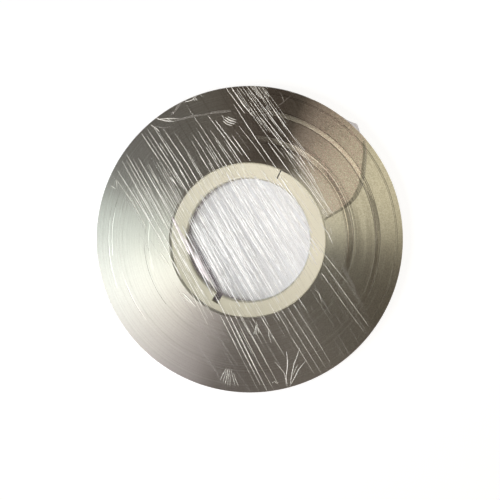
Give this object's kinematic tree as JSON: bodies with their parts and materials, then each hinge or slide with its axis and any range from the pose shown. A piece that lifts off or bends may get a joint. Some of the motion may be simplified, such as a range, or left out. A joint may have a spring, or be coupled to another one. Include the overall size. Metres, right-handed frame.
{
  "type": "coil of nickel-plated steel strip",
  "caption": "Flat pancake coil of thin nickel-plated steel strip, wound on a slotted plastic core ring and wrapped in clear stretch film.",
  "frame": {"origin": "on the surface that the coil lies on, under the middle of the coil", "axes": "+Z up along the winding axis; +X to the right and +Y up in the picture, which looks straight down on the coil"},
  "size_m": [0.188, 0.1888, 0.0111],
  "materials": {
    "nickel_plated_strip": "satin slit edges of nickel-plated steel strip, in concentric turns",
    "core_plastic": "moulded ivory plastic, satin",
    "clear_film": "clear stretch film with white pleats"
  },
  "bodies": {
    "root": {"strip_coil": "nickel_plated_strip", "core_ring": "core_plastic", "stretch_film": "clear_film"}
  },
  "joints": []
}
